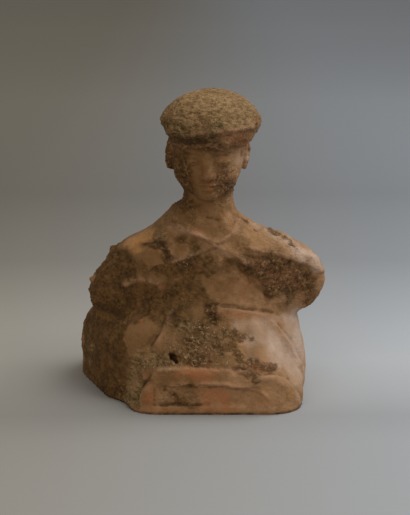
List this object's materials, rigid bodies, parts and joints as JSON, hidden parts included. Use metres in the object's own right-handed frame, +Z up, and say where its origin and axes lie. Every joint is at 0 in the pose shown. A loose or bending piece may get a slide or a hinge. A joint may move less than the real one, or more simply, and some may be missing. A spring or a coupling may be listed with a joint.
{
  "type": "terracotta cook figure",
  "caption": "Weathered fired-clay tomb figure of a cook in a flat round cap and crossed robe, kneeling behind a low table, one forearm lost.",
  "frame": {"origin": "on the flat underside, straight below the figure's neck", "axes": "+Z up, -Y the way the figure faces, +X towards the figure's left arm, the broken one"},
  "size_m": [0.2444, 0.1769, 0.2987],
  "materials": {
    "terracotta": "unglazed low-fired earthenware, matt, with burial crust and root marks"
  },
  "bodies": {
    "root": {"cook_figure": "terracotta"}
  },
  "joints": []
}
